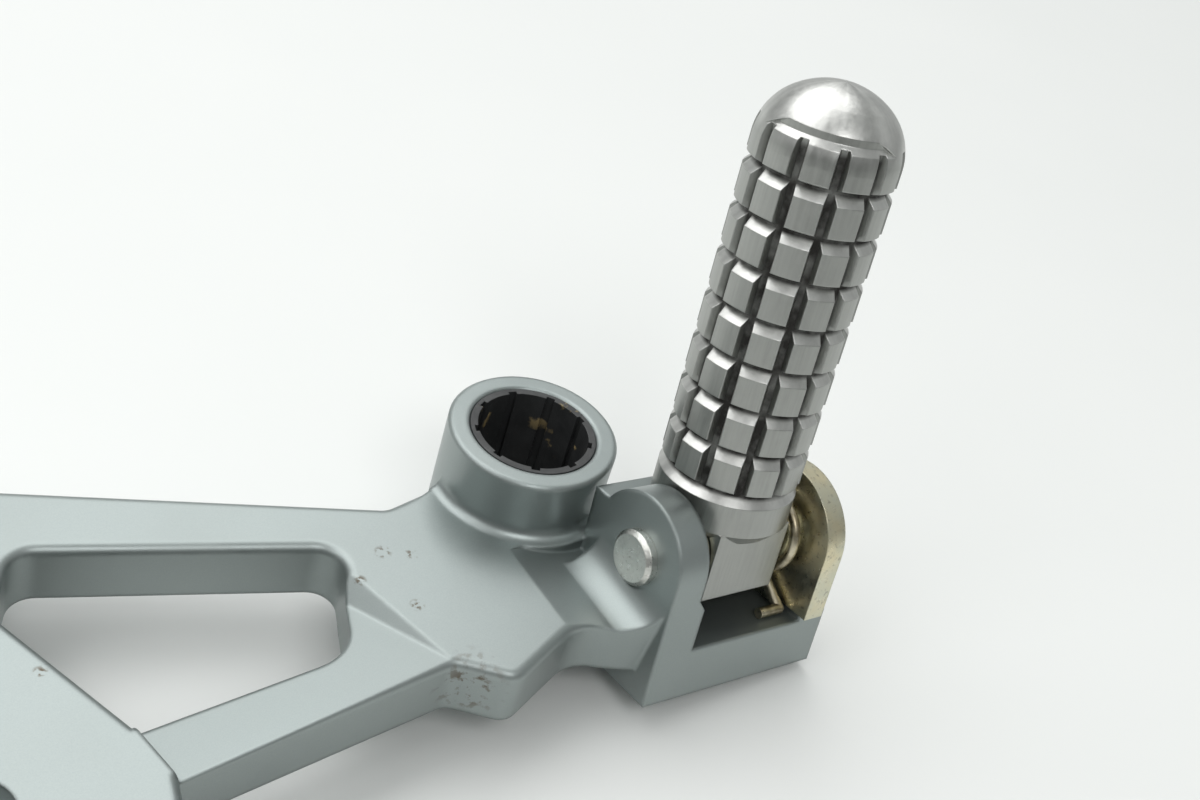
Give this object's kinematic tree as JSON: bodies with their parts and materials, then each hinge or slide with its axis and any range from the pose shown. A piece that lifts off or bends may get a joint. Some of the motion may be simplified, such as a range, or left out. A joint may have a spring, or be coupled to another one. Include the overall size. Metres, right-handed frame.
{
  "type": "motorcycle footpeg",
  "caption": "Folding rider's footpeg with a toothed alloy grip, sprung on a pin in the hinge of a cast bracket with a pedal pivot boss, a window and bolt lugs.",
  "frame": {"origin": "on the pedal pivot's axis, in the plane of the faces that meet the frame", "axes": "+Z along the pedal pivot, out of the boss, away from the frame; +X along the bracket from the frame bolts to the peg; the peg folds towards -Y"},
  "size_m": [0.1601, 0.0762, 0.1028],
  "materials": {
    "silver_casting": "cast alloy under satin silver-grey metallic paint",
    "peg_alloy": "bare alloy, brushed at the tip",
    "zinc_steel": "yellow-tinted zinc plating",
    "spring_steel": "dark spring steel",
    "bush_polymer": "dark, greasy"
  },
  "bodies": {
    "bracket": {"bracket_casting": "silver_casting", "pivot_bush": "bush_polymer", "hinge_pin": "zinc_steel", "thrust_washer": "zinc_steel", "spring_sleeve": "zinc_steel", "return_spring": "spring_steel", "ear_plate": "zinc_steel", "ear_screws": "zinc_steel", "end_washer": "zinc_steel", "retaining_clip": "spring_steel"},
    "peg": {"footpeg": "peg_alloy"}
  },
  "joints": [
    {"name": "peg_fold", "type": "hinge", "parent": "bracket", "child": "peg", "pos_m": [0.0228, -0.0288, 0.025], "axis": [0.9954, 0, -0.0958], "range_deg": [0, 85], "stiffness_Nm_per_rad": 0.1, "springref_deg": -34.38, "deforming": ["return_spring"]}
  ]
}
